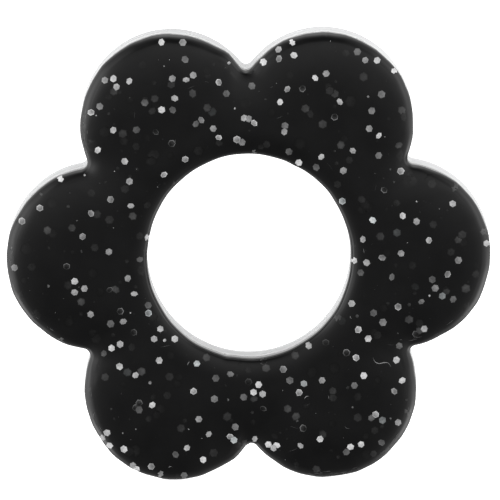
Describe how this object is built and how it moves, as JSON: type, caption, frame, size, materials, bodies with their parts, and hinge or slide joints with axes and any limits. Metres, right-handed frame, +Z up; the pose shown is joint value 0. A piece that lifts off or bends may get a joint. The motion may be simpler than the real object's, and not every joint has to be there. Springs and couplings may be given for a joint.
{
  "type": "enamel pin",
  "caption": "Flower-shaped ring pin with a round centre hole: smoky-black glitter resin over a pale plate, held on fabric by butterfly clutches on nail posts.",
  "frame": {"origin": "centre of the flower and its hole, in the plane of the plate's back face", "axes": "+X to the viewer's right across the front, +Y from the front towards the fabric and the clutches, +Z up as worn"},
  "size_m": [0.032, 0.0126, 0.0296],
  "materials": {
    "pale_acrylic": "pale, translucent, with matt cut edges",
    "black_ground": "opaque black coat",
    "glitter_resin": "glossy smoky resin with silver hexagonal glitter",
    "clear_glue": "cured clear adhesive",
    "plated_steel": "bright nickel plate",
    "plated_brass": "nickel plate over brass",
    "spring_brass": "nickel plate over spring brass"
  },
  "bodies": {
    "badge": {"base_plate": "pale_acrylic", "black_ground": "black_ground", "glitter_resin": "glitter_resin", "left_pad_glue": "clear_glue", "left_pad": "plated_steel", "left_post": "plated_steel", "right_pad_glue": "clear_glue", "right_pad": "plated_steel", "right_post": "plated_steel"},
    "left_cap": {"left_clutch_cap": "plated_brass"},
    "left_spring": {"left_spring_plate": "spring_brass"},
    "left_upper_wing": {"left_wing_upper": "spring_brass"},
    "left_lower_wing": {"left_wing_lower": "spring_brass"},
    "right_cap": {"right_clutch_cap": "plated_brass"},
    "right_spring": {"right_spring_plate": "spring_brass"},
    "right_upper_wing": {"right_wing_upper": "spring_brass"},
    "right_lower_wing": {"right_wing_lower": "spring_brass"}
  },
  "joints": [
    {"name": "left_clutch_slide", "type": "slide", "parent": "badge", "child": "left_cap", "axis": [0, 1, 0], "range_m": [-0.00202, 0.008]},
    {"name": "left_clutch_spin", "type": "hinge", "parent": "left_cap", "child": "left_spring", "pos_m": [-0.0114, 0.00331, -0.0004], "axis": [0, 1, 0], "continuous": true},
    {"name": "left_upper_wing_pinch", "type": "hinge", "parent": "left_spring", "child": "left_upper_wing", "pos_m": [-0.0111, 0.00386, 0.00072], "axis": [-0.9659, 0, 0.2588], "range_deg": [0, 14], "stiffness_Nm_per_rad": 0.0005},
    {"name": "left_lower_wing_pinch", "type": "hinge", "parent": "left_spring", "child": "left_lower_wing", "pos_m": [-0.0117, 0.00386, -0.00152], "axis": [0.9659, 0, -0.2588], "range_deg": [0, 14], "stiffness_Nm_per_rad": 0.0005},
    {"name": "right_clutch_slide", "type": "slide", "parent": "badge", "child": "right_cap", "axis": [0, 1, 0], "range_m": [-0.00202, 0.008]},
    {"name": "right_clutch_spin", "type": "hinge", "parent": "right_cap", "child": "right_spring", "pos_m": [0.0114, 0.00331, -0.0004], "axis": [0, 1, 0], "continuous": true},
    {"name": "right_upper_wing_pinch", "type": "hinge", "parent": "right_spring", "child": "right_upper_wing", "pos_m": [0.0111, 0.00386, 0.00072], "axis": [-0.9659, 0, -0.2588], "range_deg": [0, 14], "stiffness_Nm_per_rad": 0.0005},
    {"name": "right_lower_wing_pinch", "type": "hinge", "parent": "right_spring", "child": "right_lower_wing", "pos_m": [0.0117, 0.00386, -0.00152], "axis": [0.9659, 0, 0.2588], "range_deg": [0, 14], "stiffness_Nm_per_rad": 0.0005}
  ],
  "couplings": [
    {"joint": "left_lower_wing_pinch", "follows": "left_upper_wing_pinch", "ratio": 1},
    {"joint": "right_lower_wing_pinch", "follows": "right_upper_wing_pinch", "ratio": 1}
  ]
}
